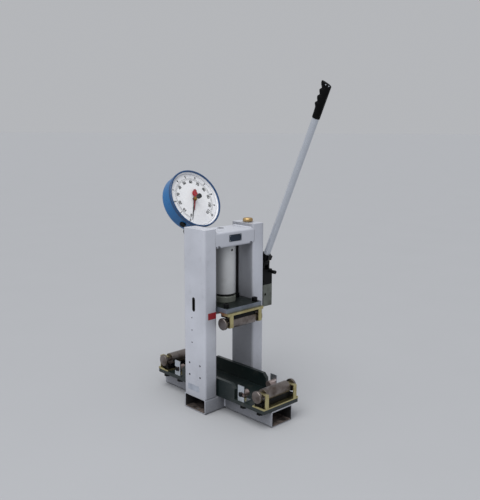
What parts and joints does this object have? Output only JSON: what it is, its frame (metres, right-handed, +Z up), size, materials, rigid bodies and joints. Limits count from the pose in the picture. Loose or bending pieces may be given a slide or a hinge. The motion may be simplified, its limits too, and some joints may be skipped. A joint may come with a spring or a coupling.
{
  "type": "flexural testing machine",
  "caption": "Bench portal press that bends a square prism on two roller pairs with a spring-return hydraulic cylinder, a hand pump with a long lever and a tilting dial gauge.",
  "frame": {"origin": "centre of the base cross tube's underside, on the bench", "axes": "+X across the portal from the left column to the right one that carries the pump, +Y along the bed away from the operator, +Z up"},
  "size_m": [0.298, 0.5499, 1.0292],
  "materials": {
    "frame_paint": "satin",
    "bed_steel": "satin",
    "zinc": "satin",
    "pale_steel": "satin",
    "roller_steel": "satin",
    "black_steel": "satin",
    "platen_steel": "satin",
    "block_steel": "matt",
    "cylinder_paint": "satin",
    "chrome_rod": "polished",
    "spring_steel": "satin",
    "seal_rubber": "matt",
    "bronze": "satin",
    "pump_alloy": "satin",
    "lever_steel": "satin",
    "grip_rubber": "matt",
    "knob_plastic": "matt",
    "brass": "satin",
    "gauge_blue": "satin",
    "gauge_rim": "satin",
    "gauge_glass": "clear",
    "dial_white": "matt",
    "pointer_black": "matt",
    "pointer_red": "satin"
  },
  "bodies": {
    "frame": {"base_cross_tube": "frame_paint", "front_foot_tube": "frame_paint", "rear_foot_tube": "frame_paint", "left_column": "frame_paint", "right_column": "frame_paint", "crosshead": "frame_paint", "bed_plate": "bed_steel", "left_bed_cheek": "bed_steel", "right_bed_cheek": "bed_steel", "bed_bolts": "black_steel", "front_left_stop_bracket": "pale_steel", "front_right_stop_bracket": "pale_steel", "rear_left_stop_bracket": "pale_steel", "rear_right_stop_bracket": "pale_steel", "stop_pins": "roller_steel", "front_lower_saddle": "black_steel", "rear_lower_saddle": "black_steel", "front_lower_guard": "zinc", "rear_lower_guard": "zinc", "cylinder_barrel": "cylinder_paint", "bleed_screw": "black_steel", "ring_nut": "black_steel", "cylinder_gland": "black_steel", "return_spring": "spring_steel", "guide_bushes": "bronze", "pump_block": "pump_alloy", "pump_head": "black_steel", "pivot_pin": "zinc", "gauge_bracket": "black_steel"},
    "ram_group": {"ram": "chrome_rod", "ram_seal": "seal_rubber", "spreader_block": "block_steel", "platen": "platen_steel", "platen_screws": "black_steel", "front_upper_saddle": "black_steel", "rear_upper_saddle": "black_steel", "front_upper_guard": "zinc", "rear_upper_guard": "zinc", "left_guide_rod": "black_steel", "right_guide_rod": "black_steel"},
    "front_upper_roller_body": {"front_upper_roller": "roller_steel"},
    "rear_upper_roller_body": {"rear_upper_roller": "roller_steel"},
    "front_lower_roller_body": {"front_lower_roller": "roller_steel"},
    "rear_lower_roller_body": {"rear_lower_roller": "roller_steel"},
    "lever": {"lever_socket": "black_steel", "crank_pin": "zinc", "lever_tube": "lever_steel", "lever_grip": "grip_rubber"},
    "plunger_body": {"plunger": "chrome_rod"},
    "release_valve_body": {"release_valve": "knob_plastic"},
    "filler_cap_body": {"filler_cap": "brass"},
    "gauge": {"gauge_case": "gauge_blue", "gauge_bezel": "gauge_rim", "gauge_glass": "gauge_glass", "gauge_dial": "dial_white", "gauge_movement": "brass", "gauge_stem": "brass", "tilt_screw": "black_steel"},
    "pointer": {"gauge_pointer": "pointer_black"},
    "maximum_hand": {"maximum_pointer": "pointer_red"}
  },
  "joints": [
    {"name": "ram_slide", "type": "slide", "parent": "frame", "child": "ram_group", "axis": [0, 0, -1], "range_m": [0, 0.04], "stiffness_N_per_m": 4000, "springref_m": -0.05, "deforming": ["return_spring"]},
    {"name": "front_upper_roller_spin", "type": "hinge", "parent": "ram_group", "child": "front_upper_roller_body", "pos_m": [0, -0.075, 0.2917], "axis": [1, 0, 0], "continuous": true},
    {"name": "rear_upper_roller_spin", "type": "hinge", "parent": "ram_group", "child": "rear_upper_roller_body", "pos_m": [0, 0.075, 0.2917], "axis": [1, 0, 0], "continuous": true},
    {"name": "front_lower_roller_spin", "type": "hinge", "parent": "frame", "child": "front_lower_roller_body", "pos_m": [0, -0.225, 0.0977], "axis": [1, 0, 0], "continuous": true},
    {"name": "rear_lower_roller_spin", "type": "hinge", "parent": "frame", "child": "rear_lower_roller_body", "pos_m": [0, 0.225, 0.0977], "axis": [1, 0, 0], "continuous": true},
    {"name": "pump_lever_swing", "type": "hinge", "parent": "frame", "child": "lever", "pos_m": [0.148, -0.031, 0.45], "axis": [1, 0, 0], "range_deg": [-22, 30]},
    {"name": "plunger_slide", "type": "slide", "parent": "frame", "child": "plunger_body", "axis": [0, 0, 1], "range_m": [-0.0108, 0.0146]},
    {"name": "release_valve_turn", "type": "hinge", "parent": "frame", "child": "release_valve_body", "pos_m": [0.161, -0.05, 0.42], "axis": [0, 1, 0], "range_deg": [0, 180]},
    {"name": "filler_cap_turn", "type": "hinge", "parent": "frame", "child": "filler_cap_body", "pos_m": [0.103, 0, 0.589], "axis": [0, 0, 1], "range_deg": [0, 90]},
    {"name": "gauge_tilt", "type": "hinge", "parent": "frame", "child": "gauge", "pos_m": [0, 0.17242, 0.57669], "axis": [1, 0, 0], "range_deg": [-15, 15]},
    {"name": "pointer_turn", "type": "hinge", "parent": "gauge", "child": "pointer", "pos_m": [0, 0.138, 0.66], "axis": [0, 0.887, -0.4617], "range_deg": [0, 290]},
    {"name": "maximum_pointer_turn", "type": "hinge", "parent": "gauge", "child": "maximum_hand", "pos_m": [0, 0.138, 0.66], "axis": [0, 0.887, -0.4617], "range_deg": [0, 270]}
  ],
  "couplings": [
    {"joint": "plunger_slide", "follows": "pump_lever_swing", "m_per_rad": 0.02705}
  ]
}
